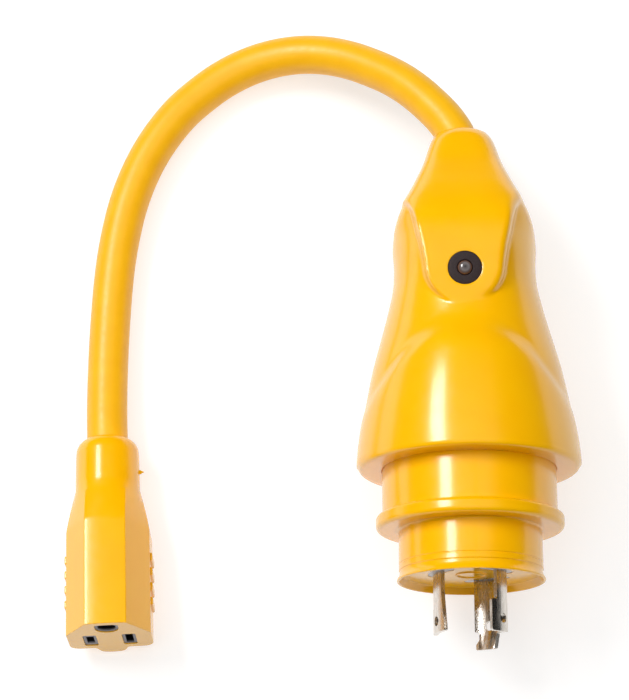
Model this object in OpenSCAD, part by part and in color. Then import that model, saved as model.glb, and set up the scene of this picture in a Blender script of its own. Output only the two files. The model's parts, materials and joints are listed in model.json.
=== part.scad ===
// Pigtail power adapter: a locking three-blade plug with an indicator lamp,
// a short heavy cord and a straight-blade three-slot connector.
// It lies on a table. +X right, +Y away from the blades, +Z up, millimetres.

/* [Plug grip] */
// Radius of the bell at its rim
rim_r = 36; // [34:0.5:37]
// Length of the bell and neck behind the rim
grip_len = 116; // [114:1:118]
// Wall thickness of the bell
grip_wall = 4.5; // [3.5:0.5:5]
// Roll of the whole plug about its own axis, degrees
plug_roll = 4; // [0:1:10]

/* [Plug nose] */
// Radius of the cylinder between the bell and the flange
collar_r = 28; // [27.5:0.1:28.5]
// Radius of the flange
flange_r = 30.1; // [29.5:0.1:31]
// Radius of the nose that enters the socket
nose_r = 22.9; // [22.5:0.1:23]
// Distance from the rim to the lip of the nose
nose_len = 36; // [35:0.5:37]
// Depth of the blade face below the lip
face_recess = 2.3; // [2:0.1:3]

/* [Blades] */
// Mean radius of the blade circle
blade_r = 11.5; // [11.2:0.1:11.8]
// Thickness of a blade
blade_t = 1.5; // [1.2:0.1:1.6]
// Distance from the rim to the tips of the two power blades
blade_tip = 53; // [51:0.5:54]
// Distance from the rim to the tip of the ground blade
ground_tip = 56; // [55:0.5:58]

/* [Indicator] */
// Distance of the lamp behind the rim
lamp_back = 60; // [58:1:62]
// Height of the lamp's bezel above the plug axis
lamp_up = 27.4; // [27:0.1:28]
// Lean of the lamp towards the blades, degrees
lamp_lean = 8; // [4:1:10]
// Radius of the black bezel
bezel_r = 5.4; // [5:0.1:5.6]

/* [Cord] */
// Outer diameter of the cord's jacket
cord_d = 13.6; // [13:0.1:14]

/* [Connector] */
// Distance between the two blade slots
slot_pitch = 12.7; // [12.5:0.1:12.9]
// Distance of the ground hole from the line of the slots
ground_up = 11.9; // [11.7:0.1:12.1]
// Overall length of the connector
conn_len = 67; // [65:1:69]
// Half the width of the connector's body
conn_hw = 13.7; // [13.5:0.1:14]
// Tilt of the connector, face up, degrees
conn_tilt = 8; // [7:0.5:8.5]
// Turn of the connector on the table, degrees
conn_yaw = 2.7; // [2:0.1:3]

/* [Hidden] */
$fn = 96;
eps = 0.01;

// Colours
yellow = "#ffc400";
cord_yellow = "#f7c21c";
grey = "#8d8a8c";
nickel = "#c9c4bd";
brass = "#c9a24a";
black = "#2b2426";

// Where the plug and the connector lie
plug_pos = [47.8, -30, rim_r];
cord_r = cord_d / 2;
collar_mid = 5;                 // centre of the connector's round collar above its slot line
collar_rear_r = 10.4;
conn_rest = (collar_rear_r - collar_mid) * cos(conn_tilt) + conn_len * sin(conn_tilt);
conn_pos = [-68.2, -81, conn_rest];
conn_end_dir = [sin(conn_yaw) * cos(conn_tilt), -cos(conn_yaw) * cos(conn_tilt), sin(conn_tilt)];

// Angles of the blades about the plug axis, from +X
hot_a = 38;
neutral_a = 156;
ground_a = -61;
hot_arc = 24;
hot_hook = 14;
neutral_arc = 30;
neutral_hook = 11;
ground_arc = 48;
foot_arc = 54;
foot_top = 6.5;
blade_hole_r = 1.5;
ground_hole_r = 1.55;
notch_r = 1.7;
hot_hook_z = 43;
neutral_hook_z = 45;

// Inside of the nose
face_z = nose_len - face_recess;
lip_r = 23.6;
carrier_r = 19.5;
carrier_back = 4;               // where the blades' feet lie and the wires are welded on
end_wall = 4;
window_w = 3;
blade_pass = 50;

// Wires inside the plug
jacket_cut = 70;
wire_r = 2.3;
wire_start_r = 3.4;
lead_r = 0.6;
lamp_r = 2.4;

// Connector's outline and what is inside it
ridge_y = 17.8;
ridge_hw = 6.6;
knee_y = 6.2;
floor_y = -8.4;
floor_r = 3.4;
keel_y = -13.3;
keel_r = 6.4;
prism_len = 34;
collar_len = 20;
conn_wall = 2.2;
pocket_back = 22;
socket_r = 2.45;
socket_len = 15;
barrel_r = 3.4;
barrel_top = -3;
conn_cut = conn_len - 26;
conn_wire_r = 2;

// Bell outline: radius and distance behind the rim
bell_pts = [
    [36, 0], [35.9, 3.5], [34.6, 13.5], [32.8, 23.5], [30.7, 33.5], [27.9, 44], [25.2, 54.5],
    [23.6, 62], [23.2, 68], [23.6, 76], [23, 82.5], [21.6, 86.5], [19.5, 90], [16.2, 96.7],
    [13.2, 103.7], [11.3, 110], [11, 112], [10.6, 114.4], [10, 115.6], [9.4, 116]
];
bend_start = grip_len - 16;     // the cord starts to turn inside the neck

// Cord centreline from inside the plug's neck to the connector's collar
cord_route = [
    [47.8, 70, 36], [47.5, 78.1, 35.7], [46.3, 86.1, 34.8], [42.7, 93.2, 33.3], [37.7, 100, 31.2],
    [32.1, 106.5, 28.6], [25.4, 112.8, 25.2], [18.1, 118, 21.7], [10.1, 122.6, 18.2], [1.6, 125.8, 15],
    [-7.4, 127.3, 12.2], [-16.9, 126.7, 10], [-25.9, 124.2, 8.4], [-34.4, 119.9, 7.4],
    [-41.9, 114.3, 6.9], [-48.9, 107.6, 6.9], [-54.7, 100, 6.9], [-59.7, 91.6, 6.9], [-63.7, 82.6, 6.9],
    [-66.8, 73, 6.9], [-68.9, 63.2, 6.9], [-70.4, 53.2, 6.9], [-71.3, 43.2, 6.9], [-71.8, 33.2, 7],
    [-72.1, 23.2, 7.3], [-72.2, 13.2, 7.8], [-72.1, 3.2, 8.6], [-71.8, -6, 9.6], [-71.36, -14.02, 10.3]
];

// --- helpers -------------------------------------------------------------

// The plug's own frame: z towards the blades, y up, z = 0 at the rim
module on_plug() {
    translate(plug_pos) rotate([90, 0, 0]) rotate([0, 0, plug_roll]) children();
}

// The connector's own frame: z out of its face, y up, origin between the two slots
module on_connector() {
    translate(conn_pos) rotate([90 - conn_tilt, 0, conn_yaw]) children();
}

// A round bar from point a to point b
module rod(a, b, r) {
    d = b - a;
    len = norm(d);
    translate(a) rotate([0, acos(d.z / len), atan2(d.y, d.x)]) rotate([0, 0, 50]) cylinder(h = len, r = r);
}

// Part of a tube wall about z, centred on angle a
module arc_wall(a, arc, z0, z1, r_mid, t) {
    rotate([0, 0, a - arc / 2]) rotate_extrude(angle = arc)
        translate([r_mid - t / 2, z0]) square([t, z1 - z0]);
}

function on_circle(a, r, z) = [r * cos(a), r * sin(a), z];

function unit(v) = v / norm(v);
// Direction of the path at a point; its two ends leave square to the housings
function tangent(p, i) = i == 0 ? [0, 1, 0] : i == len(p) - 1 ? conn_end_dir
    : unit(p[i + 1] - p[i - 1]);

// Side vectors carried along the path with no twist
function carried(p, i) = i == 0 ? unit(cross(tangent(p, 0), [0, 0, 1]))
    : let (v = carried(p, i - 1), t = tangent(p, i)) unit(v - (v * t) * t);

// A round tube along a path, closed at both ends
module swept_tube(p, r, sides) {
    n = len(p);
    rings = [for (i = [0:n - 1]) let (u = carried(p, i), w = cross(tangent(p, i), u))
        for (k = [0:sides - 1]) p[i] + r * (cos(360 * k / sides) * u + sin(360 * k / sides) * w)];
    faces = concat(
        [[for (k = [0:sides - 1]) k]],
        [for (i = [0:n - 2], k = [0:sides - 1]) let (j = (k + 1) % sides)
            [i * sides + k, (i + 1) * sides + k, (i + 1) * sides + j, i * sides + j]],
        [[for (k = [sides - 1:-1:0]) (n - 1) * sides + k]]);
    polyhedron(rings, faces, convexity = 10);
}

// --- plug ----------------------------------------------------------------

module bell_outline() {
    polygon(concat([[0, 0]], [for (q = bell_pts) [q[0], -q[1]]], [[0, -grip_len]]));
}

// Hollow behind the bell's front wall, closing on the cord in the neck
module bell_hollow() {
    rotate_extrude() polygon([
        [0, -grip_wall], [rim_r - grip_wall - 0.6, -grip_wall], [34.6 - grip_wall, -13.5],
        [30.7 - grip_wall, -33.5], [25.2 - grip_wall, -54.5], [23.2 - grip_wall, -66],
        [23.2 - grip_wall, -76], [12, -86], [0, -86]
    ]);
}

// Raised tongue on top of the grip: round tip under the lamp, wider at the shoulders
module tongue() {
    intersection() {
        rotate([-90, 0, 0]) linear_extrude(height = 32) {
            translate([0, lamp_back]) circle(r = 12);
            polygon([[-12, lamp_back], [12, lamp_back], [14.5, 74], [18, 88], [-18, 88], [-14.5, 74]]);
        }
        rotate_extrude() polygon([
            [18, -48], [25.6, -48], [26.6, -54], [27.6, -lamp_back], [28.2, -68], [27.4, -77],
            [24.6, -84], [20, -89], [16, -89]
        ]);
    }
}

// The lamp's own frame: z out of the bezel, which is at z = 0
module at_lamp() {
    translate([0, lamp_up, -lamp_back]) rotate([-90 + lamp_lean, 0, 0]) children();
}

module bell_grip() {
    color(yellow) on_plug() difference() {
        union() {
            difference() {
                union() {
                    rotate_extrude() bell_outline();
                    tongue();
                }
                bell_hollow();
            }
            // boss that holds the lamp
            intersection() {
                at_lamp() translate([0, 0, -13]) cylinder(h = 12, r = 8.5);
                rotate_extrude() translate([0, -80]) square([24, 60]);
            }
        }
        translate([0, 0, -24]) cylinder(h = 24 + eps, r = collar_r);
        translate([0, 0, -bend_start - 1]) cylinder(h = 20, r = cord_r);
        translate([0, 0, -grip_len - 1]) cylinder(h = grip_len + 1 - bend_start, r1 = 9.5, r2 = cord_r);
        at_lamp() translate([0, 0, -2.2]) cylinder(h = 6, r = bezel_r);
        at_lamp() translate([0, 0, -16]) cylinder(h = 16, r = 4.2);
    }
}

module blade_windows(z0, z1, w) {
    arc_wall(hot_a + 4, hot_arc + 22, z0, z1, blade_r, w);
    arc_wall(neutral_a + 3, neutral_arc + 20, z0, z1, blade_r, w);
    arc_wall(ground_a, ground_arc + 16, z0, z1, blade_r, w);
}

module plug_nose() {
    color(yellow) on_plug() difference() {
        rotate_extrude() polygon(concat(
            [[carrier_r, -24], [collar_r, -24], [collar_r, 15]],
            // rounded flange edge
            [for (a = [90:-15:-90]) [flange_r - 2.3 + 2.3 * cos(a), 17.3 - 2.3 * sin(a)]],
            [[nose_r, 19.6], [nose_r, 28.6], [nose_r - 0.25, 28.8], [nose_r - 0.25, 29.1],
             [nose_r, 29.3], [nose_r, 31.4], [nose_r - 0.3, 31.6], [nose_r - 0.3, 33],
             [nose_r - 0.1, 34], [nose_r + 0.3, 34.6], [lip_r, nose_len - 1.2],
             [lip_r, nose_len - 0.2], [lip_r - 0.2, nose_len],
             [22.7, nose_len], [21.8, face_z], [0, face_z], [0, face_z - end_wall],
             [carrier_r, face_z - end_wall]]));
        blade_windows(face_z - end_wall - 1, face_z + 1, window_w);
    }
    // ring in the middle of the face
    color(yellow) on_plug() translate([0, 0, face_z - eps]) difference() {
        cylinder(h = 0.4 + eps, r = 4.8);
        translate([0, 0, -1]) cylinder(h = 2, r = 4.2);
    }
}

// Wider feet that keep the blades from being pulled out of the carrier
module blade_feet() {
    for (a = [hot_a, neutral_a, ground_a])
        arc_wall(a, foot_arc, carrier_back, foot_top, blade_r, blade_t);
}

// Slots that the blades pass through
module blade_slots(z0, z1) {
    arc_wall(hot_a, hot_arc, z0, z1, blade_r, blade_t);
    arc_wall(neutral_a, neutral_arc, z0, z1, blade_r, blade_t);
    arc_wall(ground_a, ground_arc, z0, z1, blade_r, blade_t);
}

module blade_carrier() {
    color(grey) on_plug() difference() {
        union() {
            translate([0, 0, carrier_back]) cylinder(h = face_z - end_wall - carrier_back, r = carrier_r);
            blade_windows(face_z - end_wall - eps, face_z - 0.4, window_w);
        }
        blade_feet();
        blade_slots(0, blade_pass);
    }
}

// Cuts a blade's blank away between two angles and two heights
module blade_cut(a0, a1, z0, z1) {
    arc_wall((a0 + a1) / 2, a1 - a0, z0, z1, blade_r, blade_t + 4);
}

// A power blade with its hook on the anticlockwise side, seen from the tip
module power_blade(a, arc, hook, tip, hook_z) {
    difference() {
        arc_wall(a, foot_arc, carrier_back, tip, blade_r, blade_t);
        blade_cut(a - foot_arc, a - arc / 2, foot_top, tip + 1);
        blade_cut(a + arc / 2, a + foot_arc, foot_top, hook_z);
        blade_cut(a + arc / 2 + hook, a + foot_arc, hook_z - 1, tip + 1);
        rotate([0, 0, a]) translate([blade_r, 0, tip - 4.2]) rotate([0, 90, 0])
            cylinder(h = 6, r = blade_hole_r, center = true);
    }
}

module hot_blade() {
    color(nickel) on_plug() power_blade(hot_a, hot_arc, hot_hook, blade_tip, hot_hook_z);
}

module neutral_blade() {
    color(nickel) on_plug()
        power_blade(neutral_a, neutral_arc, neutral_hook, blade_tip + 0.6, neutral_hook_z);
}

module ground_blade() {
    color(nickel) on_plug() difference() {
        union() {
            arc_wall(ground_a, foot_arc, carrier_back, ground_tip, blade_r, blade_t);
            // lip turned in towards the axis
            arc_wall(ground_a, ground_arc - 10, ground_tip - 1.4, ground_tip, blade_r - 1.2, blade_t + 1.2);
        }
        blade_cut(ground_a - foot_arc, ground_a - ground_arc / 2, foot_top, ground_tip + 1);
        blade_cut(ground_a + ground_arc / 2, ground_a + foot_arc, foot_top, ground_tip + 1);
        rotate([0, 0, ground_a]) translate([blade_r, 0, ground_tip - 7.6]) rotate([0, 90, 0])
            cylinder(h = 6, r = ground_hole_r, center = true);
        for (s = [-1, 1]) rotate([0, 0, ground_a + s * ground_arc / 2])
            translate([blade_r, 0, ground_tip - 4.2]) rotate([0, 90, 0])
                cylinder(h = 6, r = notch_r, center = true);
    }
}

// Places where the wires leave the jacket and where they meet the blades
function wire_from(a) = on_circle(a, wire_start_r, -jacket_cut);
function wire_to(a) = on_circle(a, blade_r, carrier_back);

// Leads of the lamp run from its board to the two power blades
board_pos = [0, lamp_up - 15.5 * cos(lamp_lean), -lamp_back - 15.5 * sin(lamp_lean)];
lead_hot_to = on_circle(hot_a + 17, blade_r, carrier_back);
lead_neutral_to = on_circle(neutral_a - 17, blade_r, carrier_back);

// Keeps what lies between the cut end of the jacket and the feet of the blades
module between_ends() {
    intersection() {
        translate([0, 0, -jacket_cut]) cylinder(h = jacket_cut + carrier_back, r = 25);
        children();
    }
}

module wire_bar(a) { rod(wire_from(a) - [0, 0, 0.6], wire_to(a) + [0, 0, 0.6], wire_r); }
module lead_bar(side, to) { rod(board_pos + [side * 2.5, -0.2, 0], to + [0, 0, 0.2], lead_r); }

module inner_mould() {
    color("#d8d3c8") on_plug() difference() {
        rotate_extrude() polygon([
            [0, carrier_back], [carrier_r, carrier_back], [carrier_r, -10], [15, -30], [11, -46], [0, -46]
        ]);
        for (a = [hot_a, neutral_a, ground_a]) wire_bar(a);
        lead_bar(1, lead_hot_to);
        lead_bar(-1, lead_neutral_to);
    }
}

module plug_wire(a, tint) {
    color(tint) on_plug() between_ends() wire_bar(a);
}

module plug_wire_hot() { plug_wire(hot_a, "#262626"); }
module plug_wire_neutral() { plug_wire(neutral_a, "#f0f0ec"); }
module plug_wire_ground() { plug_wire(ground_a, "#2f8f4a"); }

module indicator_lead_hot() {
    color("#262626") on_plug() between_ends() lead_bar(1, lead_hot_to);
}

module indicator_lead_neutral() {
    color("#f0f0ec") on_plug() between_ends() lead_bar(-1, lead_neutral_to);
}

module indicator_bezel() {
    color(black) on_plug() at_lamp() difference() {
        union() {
            translate([0, 0, -2.2]) cylinder(h = 2.4, r = bezel_r);
            translate([0, 0, -11]) cylinder(h = 9, r = 4.2);
        }
        translate([0, 0, -12]) cylinder(h = 14, r = lamp_r);
    }
}

module indicator_lamp() {
    color("#b9b2ab") on_plug() at_lamp() {
        translate([0, 0, -11]) cylinder(h = 10.6, r = lamp_r);
        intersection() {
            translate([0, 0, -1.6]) sphere(r = 2.7);
            translate([0, 0, -0.4 - eps]) cylinder(h = 3, r = lamp_r);
        }
    }
}

module indicator_board() {
    color("#2f6b3f") on_plug() at_lamp() translate([0, 0, -14.6]) cylinder(h = 1.6, r = 5);
}

module indicator_resistor() {
    color("#c9b48a") on_plug() at_lamp() translate([0, -3, -11.9]) rotate([0, 90, 0])
        cylinder(h = 2, r = 0.6, center = true);
}

module plug_jacket_end() {
    color(cord_yellow) on_plug() translate([0, 0, -bend_start])
        cylinder(h = bend_start - jacket_cut, r = cord_r);
}

module plug_cable_ferrule() {
    color(nickel) on_plug() translate([0, 0, -84]) difference() {
        cylinder(h = 9, r = 8);
        translate([0, 0, -1]) cylinder(h = 11, r = cord_r);
    }
}

// --- cord ----------------------------------------------------------------

module cable_jacket() {
    color(cord_yellow) swept_tube(cord_route, cord_r, 12);
}

// --- connector -----------------------------------------------------------

// Outline of the connector's face: flat ridge, sloping panels, short sides, flat floor
module face_outline(g = 0) {
    polygon(concat(
        [[-ridge_hw + g / 2, ridge_y - g], [ridge_hw - g / 2, ridge_y - g], [conn_hw - g, knee_y - g / 2]],
        [for (a = [0:-15:-90]) [conn_hw - floor_r, floor_y + floor_r] + (floor_r - g) * [cos(a), sin(a)]],
        [for (a = [-90:-15:-180]) [floor_r - conn_hw, floor_y + floor_r] + (floor_r - g) * [cos(a), sin(a)]],
        [[-conn_hw + g, knee_y - g / 2]]));
}

module face_windows(z0, h, g = 0) {
    for (s = [-1, 1]) translate([s * slot_pitch / 2, 0, z0 + h / 2])
        cube([5.2 - g, 10.8 - g, h], center = true);
    translate([0, ground_up, z0]) intersection() {
        cylinder(h = h, r = 4 - g / 2);
        translate([-5, -5 + g / 2, 0]) cube([10, 8.2 - g, h]);
    }
}

module connector_body() {
    color(yellow) on_connector() difference() {
        union() {
            translate([0, 0, -prism_len]) linear_extrude(height = prism_len) face_outline();
            hull() {
                translate([0, 0, 1 - prism_len]) linear_extrude(height = 0.1) face_outline(0.1);
                translate([0, collar_mid, -conn_len + collar_len - 1])
                    cylinder(h = 0.1, r = 10.6, $fn = 32);
            }
            translate([0, collar_mid, -conn_len]) {
                cylinder(h = 1.6, r1 = 9, r2 = collar_rear_r);
                translate([0, 0, 1.6]) cylinder(h = collar_len - 1.6, r1 = collar_rear_r, r2 = 10.8);
            }
            // keel under the body, which it runs out into towards the collar
            intersection() {
                rod([0, keel_y + keel_r, 0] + [0, -0.4, 4], [0, keel_y + keel_r + 4.8, -44], keel_r);
                translate([-10, -30, -40]) cube([20, 40, 40]);
            }
            // grip ribs
            for (s = [-1, 1], i = [0:3])
                translate([s * (conn_hw + 0.1), 0.4, -11.1 - 5.05 * i]) cube([1.2, 9, 2.8], center = true);
            // moulding gate
            translate([0, collar_mid, -conn_len + 13]) rotate([0, 90, 5]) translate([0, 0, 10])
                cylinder(h = 2.2, r1 = 0.9, r2 = 0.2);
        }
        translate([0, 0, -pocket_back]) linear_extrude(height = pocket_back - 1) face_outline(conn_wall);
        face_windows(-1.5, 2);
        translate([0, collar_mid, -conn_len - 1]) cylinder(h = 24, r = cord_r);
        translate([0, collar_mid, -conn_len + 22]) cylinder(h = conn_len - 43, r = 8.4);
    }
}

module contact_carrier() {
    color(grey) on_connector() difference() {
        union() {
            translate([0, 0, -pocket_back])
                linear_extrude(height = pocket_back - 1) face_outline(conn_wall);
            face_windows(-1 - eps, 0.7 + eps);
        }
        for (s = [-1, 1]) translate([s * slot_pitch / 2, 0, -12])
            cube([2.2, s < 0 ? 6.7 : 8.5, 30], center = true);
        for (s = [-1, 1]) translate([s * slot_pitch / 2, 0, -13])
            cube([4.6, 9.4, 19], center = true);
        // funnel of the ground hole, and the bed of its contact
        translate([0, ground_up, barrel_top - eps]) cylinder(h = 3, r1 = socket_r, r2 = 2.75);
        translate([0, ground_up, -pocket_back - 1])
            cylinder(h = pocket_back + 1 + barrel_top, r = barrel_r);
    }
}

// A folded spring contact for a flat blade
module blade_contact() {
    difference() {
        translate([0, 0, -13.5]) cube([4.6, 9.4, 17], center = true);
        translate([0, 0, -12.5]) cube([1.5, 10, 17], center = true);
        for (s = [-1, 1]) translate([s * 2.2, 0, -11]) cube([1.4, 10, 10], center = true);
    }
}

module hot_contact() { color(brass) on_connector() translate([-slot_pitch / 2, 0, 0]) blade_contact(); }
module neutral_contact() { color(brass) on_connector() translate([slot_pitch / 2, 0, 0]) blade_contact(); }

module ground_contact() {
    color(brass) on_connector() translate([0, ground_up, -pocket_back]) difference() {
        cylinder(h = pocket_back + barrel_top, r = barrel_r);
        translate([0, 0, pocket_back + barrel_top - socket_len]) cylinder(h = socket_len + 1, r = socket_r);
    }
}

module conn_wire(to, a, tint) {
    from = [3.4 * cos(a), collar_mid + 3.4 * sin(a), -conn_cut];
    color(tint) on_connector() intersection() {
        rod(from, to + [0, 0, 0.8], conn_wire_r);
        translate([0, collar_mid, -conn_cut]) cylinder(h = conn_cut - pocket_back, r = 12);
    }
}

module connector_wire_hot() { conn_wire([-slot_pitch / 2 + 1, 0, -pocket_back], 210, "#262626"); }
module connector_wire_neutral() { conn_wire([slot_pitch / 2 - 1, 0, -pocket_back], 330, "#f0f0ec"); }
module connector_wire_ground() { conn_wire([0, ground_up - 2, -pocket_back], 90, "#2f8f4a"); }

module connector_jacket_end() {
    color(cord_yellow) on_connector() translate([0, collar_mid, -conn_len])
        cylinder(h = conn_len - conn_cut, r = cord_r);
}

module connector_cable_ferrule() {
    color(nickel) on_connector() translate([0, collar_mid, -conn_len + 22]) difference() {
        cylinder(h = 3.5, r = 7.8);
        translate([0, 0, -1]) cylinder(h = 6, r = cord_r);
    }
}

bell_grip();
plug_nose();
inner_mould();
blade_carrier();
hot_blade();
neutral_blade();
ground_blade();
indicator_bezel();
indicator_lamp();
indicator_board();
indicator_resistor();
indicator_lead_hot();
indicator_lead_neutral();
plug_wire_hot();
plug_wire_neutral();
plug_wire_ground();
plug_jacket_end();
plug_cable_ferrule();
cable_jacket();
connector_body();
contact_carrier();
hot_contact();
neutral_contact();
ground_contact();
connector_wire_hot();
connector_wire_neutral();
connector_wire_ground();
connector_jacket_end();
connector_cable_ferrule();
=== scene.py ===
"""Looks of a pigtail power adapter: a locking plug with an indicator lamp, a thick cord and a small connector.

New pieces are drawn in millimetres in the plug's, the lamp's or the connector's own axes, as the part's source
does, and settle() then puts them in place in metres.
"""

import json
import math

import bpy
import numpy as np
from mathutils import Matrix, Vector


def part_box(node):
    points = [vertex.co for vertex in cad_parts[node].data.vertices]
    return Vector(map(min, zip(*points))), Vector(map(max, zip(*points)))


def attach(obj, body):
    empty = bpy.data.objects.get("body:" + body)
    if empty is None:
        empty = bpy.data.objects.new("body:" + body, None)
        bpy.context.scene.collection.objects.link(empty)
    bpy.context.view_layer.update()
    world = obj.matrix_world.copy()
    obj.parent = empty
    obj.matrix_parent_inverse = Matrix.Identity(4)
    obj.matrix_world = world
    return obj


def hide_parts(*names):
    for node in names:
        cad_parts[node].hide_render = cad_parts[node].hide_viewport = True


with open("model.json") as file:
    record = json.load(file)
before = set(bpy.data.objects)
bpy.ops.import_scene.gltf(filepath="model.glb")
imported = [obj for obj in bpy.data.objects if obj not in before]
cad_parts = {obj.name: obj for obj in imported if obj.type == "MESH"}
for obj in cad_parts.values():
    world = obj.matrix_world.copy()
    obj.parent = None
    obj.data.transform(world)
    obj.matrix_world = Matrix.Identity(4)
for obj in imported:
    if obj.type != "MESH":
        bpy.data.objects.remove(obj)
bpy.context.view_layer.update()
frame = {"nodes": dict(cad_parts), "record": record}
MM = 0.001
TURN = 2 * math.pi

# --- places taken from the frame ---------------------------------------------------------------------------------

bell_low, bell_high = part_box("bell_grip")
RIM = Vector(((bell_low.x + bell_high.x) / 2, bell_low.y, (bell_low.z + bell_high.z) / 2))
ROLL = math.radians(4)
PLUG = (
    Matrix.Translation(RIM)
    @ Matrix.Rotation(math.pi / 2, 4, "X")
    @ Matrix.Rotation(ROLL, 4, "Z")
    @ Matrix.Scale(MM, 4)
)
LAMP_BACK, LAMP_UP, LAMP_LEAN, LAMP_R = 60.0, 27.4, math.radians(8), 2.45
IN_LAMP = Matrix.Translation((0, LAMP_UP, -LAMP_BACK)) @ Matrix.Rotation(LAMP_LEAN - math.pi / 2, 4, "X")

slots_mount = next(m for m in frame["record"]["mounts"] if m["name"] == "blade_slots")
face_out = Vector(slots_mount["axis"]).normalized()
face_right = Vector((0, 0, 1)).cross(face_out).normalized()
CONNECTOR = Matrix.Translation(Vector(slots_mount["pos_m"])) @ Matrix(
    (face_right, face_out.cross(face_right), face_out)
).transposed().to_4x4() @ Matrix.Scale(MM, 4)

# --- camera, light and floor -------------------------------------------------------------------------------------

CAMERA_AT = Vector((-0.0019, -0.1891, 0.6940))
CAMERA_TILT = math.radians(16.9)
CAMERA_LENS, CAMERA_SENSOR = 108, 36  # mm
LIGHTS_AIM = Vector((0.03, -0.02, 0.05))  # about the object's middle
ROOM_GREY = 0.012
FLOOR_SIZE, FLOOR_DROP, FLOOR_GLOW = 6, 0.0004, 0.64


def set_camera():
    data = bpy.data.cameras.new("camera")
    data.lens, data.sensor_width = CAMERA_LENS, CAMERA_SENSOR
    data.clip_start, data.clip_end = 0.05, 20
    camera = bpy.data.objects.new("camera", data)
    camera.location, camera.rotation_euler = CAMERA_AT, (CAMERA_TILT, 0, 0)
    bpy.context.scene.collection.objects.link(camera)
    bpy.context.scene.camera = camera


def softbox(name, at, size, power, along=(0, 1, 0), mirrored=True):
    """An area light aimed at the object; one that is not mirrored lights the surfaces but leaves no highlight."""
    data = bpy.data.lights.new(name, "AREA")
    data.shape, data.size, data.size_y = "RECTANGLE", size[0], size[1]
    data.energy = power
    lamp = bpy.data.objects.new(name, data)
    lamp.location = at
    back = (Vector(at) - LIGHTS_AIM).normalized()
    across = Vector(along).cross(back).normalized()
    lamp.rotation_euler = Matrix((across, back.cross(across), back)).transposed().to_euler()
    lamp.visible_glossy = mirrored
    bpy.context.scene.collection.objects.link(lamp)


def node(tree, kind, inputs=None, **settings):
    """Adds a node with its settings; an input is given a value or the socket that feeds it."""
    made = tree.nodes.new(kind)
    for name, value in settings.items():
        setattr(made, name, value)
    for name, value in (inputs or {}).items():
        if isinstance(value, bpy.types.NodeSocket):
            tree.links.new(value, made.inputs[name])
        else:
            made.inputs[name].default_value = value
    return made


def colour(hex_code, alpha=1.0):
    """An sRGB hex colour as the linear one that the shaders use."""
    parts = [int(hex_code[i : i + 2], 16) / 255 for i in (1, 3, 5)]
    return (*(c / 12.92 if c <= 0.04045 else ((c + 0.055) / 1.055) ** 2.4 for c in parts), alpha)


def ramp(tree, factor, stops):
    made = node(tree, "ShaderNodeValToRGB", {"Fac": factor})
    for index, (place, shade) in enumerate(stops):
        stop = made.color_ramp.elements[index] if index < 2 else made.color_ramp.elements.new(place)
        stop.position, stop.color = place, shade
    return made


def set_light():
    scene = bpy.context.scene
    scene.view_settings.view_transform = "Standard"
    world = bpy.data.worlds.new("studio")
    world.use_nodes = True
    scene.world = world
    # a dark room: the white table and one softbox are all that the surfaces mirror
    world.node_tree.nodes["Background"].inputs["Color"].default_value = (ROOM_GREY, ROOM_GREY, ROOM_GREY, 1)
    softbox("key", at=(-0.70, 0.42, 1.08), size=(0.32, 0.60), power=10.0, along=(0.05, 0.9, -0.42))
    softbox("overhead", at=(0.0, 0.0, 1.5), size=(1.6, 1.6), power=19.5, mirrored=False)


def set_floor():
    """White paper that glows a little, as paper lit all round does."""
    bpy.ops.object.select_all(action="DESELECT")
    bpy.ops.mesh.primitive_plane_add(size=FLOOR_SIZE, location=(0, 0, -FLOOR_DROP))
    floor = bpy.context.object
    floor.name = "floor"
    paper = bpy.data.materials.new("white_paper")
    paper.use_nodes = True
    shader = paper.node_tree.nodes["Principled BSDF"]
    shader.inputs["Base Color"].default_value = colour("#b4b4b4")
    shader.inputs["Roughness"].default_value = 1.0
    shader.inputs["Emission Color"].default_value = (1, 1, 1, 1)
    shader.inputs["Emission Strength"].default_value = FLOOR_GLOW
    floor.data.materials.append(paper)


set_camera()
set_light()
set_floor()

# --- materials ---------------------------------------------------------------------------------------------------


def material(name):
    """An empty material with its Principled shader: (material, tree, shader, Object coordinates)."""
    made = bpy.data.materials.new(name)
    made.use_nodes = True
    tree = made.node_tree
    places = node(tree, "ShaderNodeTexCoord").outputs["Object"]
    return made, tree, tree.nodes["Principled BSDF"], places


def noise(tree, places, size_mm, detail=3.0, rough=0.5):
    """Noise whose blotches are about size_mm across."""
    return node(tree, "ShaderNodeTexNoise", {
        "Vector": places, "Scale": 1 / (size_mm * MM), "Detail": detail, "Roughness": rough,
    }).outputs["Fac"]


def spread(tree, value, low, high):
    """Turns noise, which stays about its middle, into low..high."""
    return node(tree, "ShaderNodeMapRange", {
        "Value": value, "From Min": 0.3, "From Max": 0.7, "To Min": low, "To Max": high,
    }).outputs["Result"]


def mixed(tree, factor, first, second):
    made = node(tree, "ShaderNodeMix", {0: factor}, data_type="RGBA")
    for index, value in ((6, first), (7, second)):
        if isinstance(value, bpy.types.NodeSocket):
            tree.links.new(value, made.inputs[index])
        else:
            made.inputs[index].default_value = value
    return made.outputs[2]


def bumped(tree, shader, height, depth_mm, strength=1.0):
    relief = node(tree, "ShaderNodeBump", {"Height": height, "Distance": depth_mm * MM, "Strength": strength})
    tree.links.new(relief.outputs["Normal"], shader.inputs["Normal"])


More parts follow.
